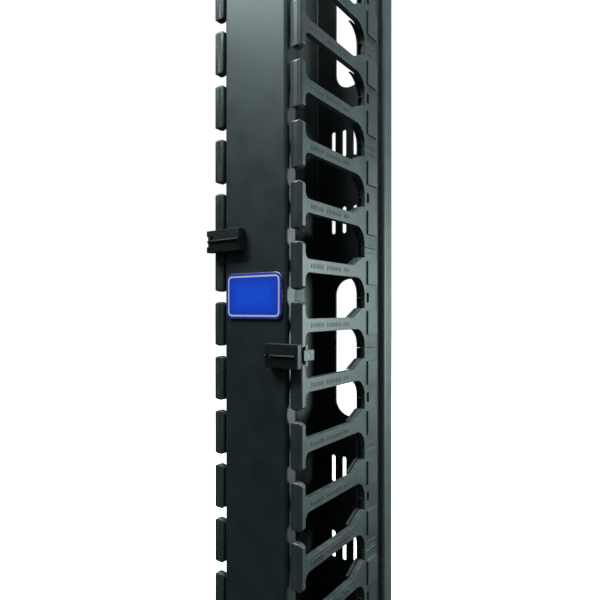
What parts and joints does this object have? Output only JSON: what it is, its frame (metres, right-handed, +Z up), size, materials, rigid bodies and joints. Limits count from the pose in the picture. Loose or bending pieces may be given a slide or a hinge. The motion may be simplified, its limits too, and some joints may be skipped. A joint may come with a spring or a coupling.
{
  "type": "vertical cable manager",
  "caption": "Narrow vertical cable manager for an open rack: steel spine and rear rails, clip-on plastic finger combs, swing-open steel cover with latch.",
  "frame": {"origin": "centre of the bounding box's bottom face, on the floor under the middle of the section", "axes": "+X to the right seen from the front, -Y towards the front (cover side), +Z up along the fingers' column"},
  "size_m": [0.0914, 0.1596, 0.8001],
  "materials": {
    "spine_paint": "black powder coat, satin",
    "rail_paint": "dark grey powder coat, satin",
    "cover_paint": "black powder coat, fine texture",
    "finger_plastic": "black moulded plastic, fine texture",
    "latch_plastic": "black moulded plastic, satin",
    "badge_face": "blue domed plastic, gloss",
    "rivet_steel": "blackened steel",
    "pin_steel": "bright steel"
  },
  "bodies": {
    "manager_frame": {"spine": "spine_paint", "rail_left": "rail_paint", "rail_right": "rail_paint", "rail_rivets_left": "rivet_steel", "rail_rivets_right": "rivet_steel", "comb_left_1": "finger_plastic", "comb_left_2": "finger_plastic", "comb_left_3": "finger_plastic", "comb_left_4": "finger_plastic", "comb_left_5": "finger_plastic", "comb_left_6": "finger_plastic", "comb_left_7": "finger_plastic", "comb_left_8": "finger_plastic", "comb_left_9": "finger_plastic", "comb_right_1": "finger_plastic", "comb_right_2": "finger_plastic", "comb_right_3": "finger_plastic", "comb_right_4": "finger_plastic", "comb_right_5": "finger_plastic", "comb_right_6": "finger_plastic", "comb_right_7": "finger_plastic", "comb_right_8": "finger_plastic", "comb_right_9": "finger_plastic", "keeper_left": "latch_plastic", "keeper_right": "latch_plastic", "keeper_rivet_left": "rivet_steel", "keeper_rivet_right": "rivet_steel"},
    "cover": {"cover": "cover_paint", "badge_plate": "badge_face", "hinge_block": "latch_plastic", "hinge_pin": "pin_steel", "latch_case": "latch_plastic", "latch_spring": "pin_steel", "block_rivets_left": "rivet_steel", "block_rivets_right": "rivet_steel"},
    "latch_slide": {"latch_bolt": "latch_plastic"}
  },
  "joints": [
    {"name": "cover_hinge", "type": "hinge", "parent": "manager_frame", "child": "cover", "pos_m": [-0.0418, -0.07525, 0.4445], "axis": [0, 0, -1], "range_deg": [0, 130]},
    {"name": "latch_bolt_slide", "type": "slide", "parent": "cover", "child": "latch_slide", "axis": [-1, 0, 0], "range_m": [0, 0.003], "stiffness_N_per_m": 400, "springref_m": -0.004, "deforming": ["latch_spring"]}
  ]
}
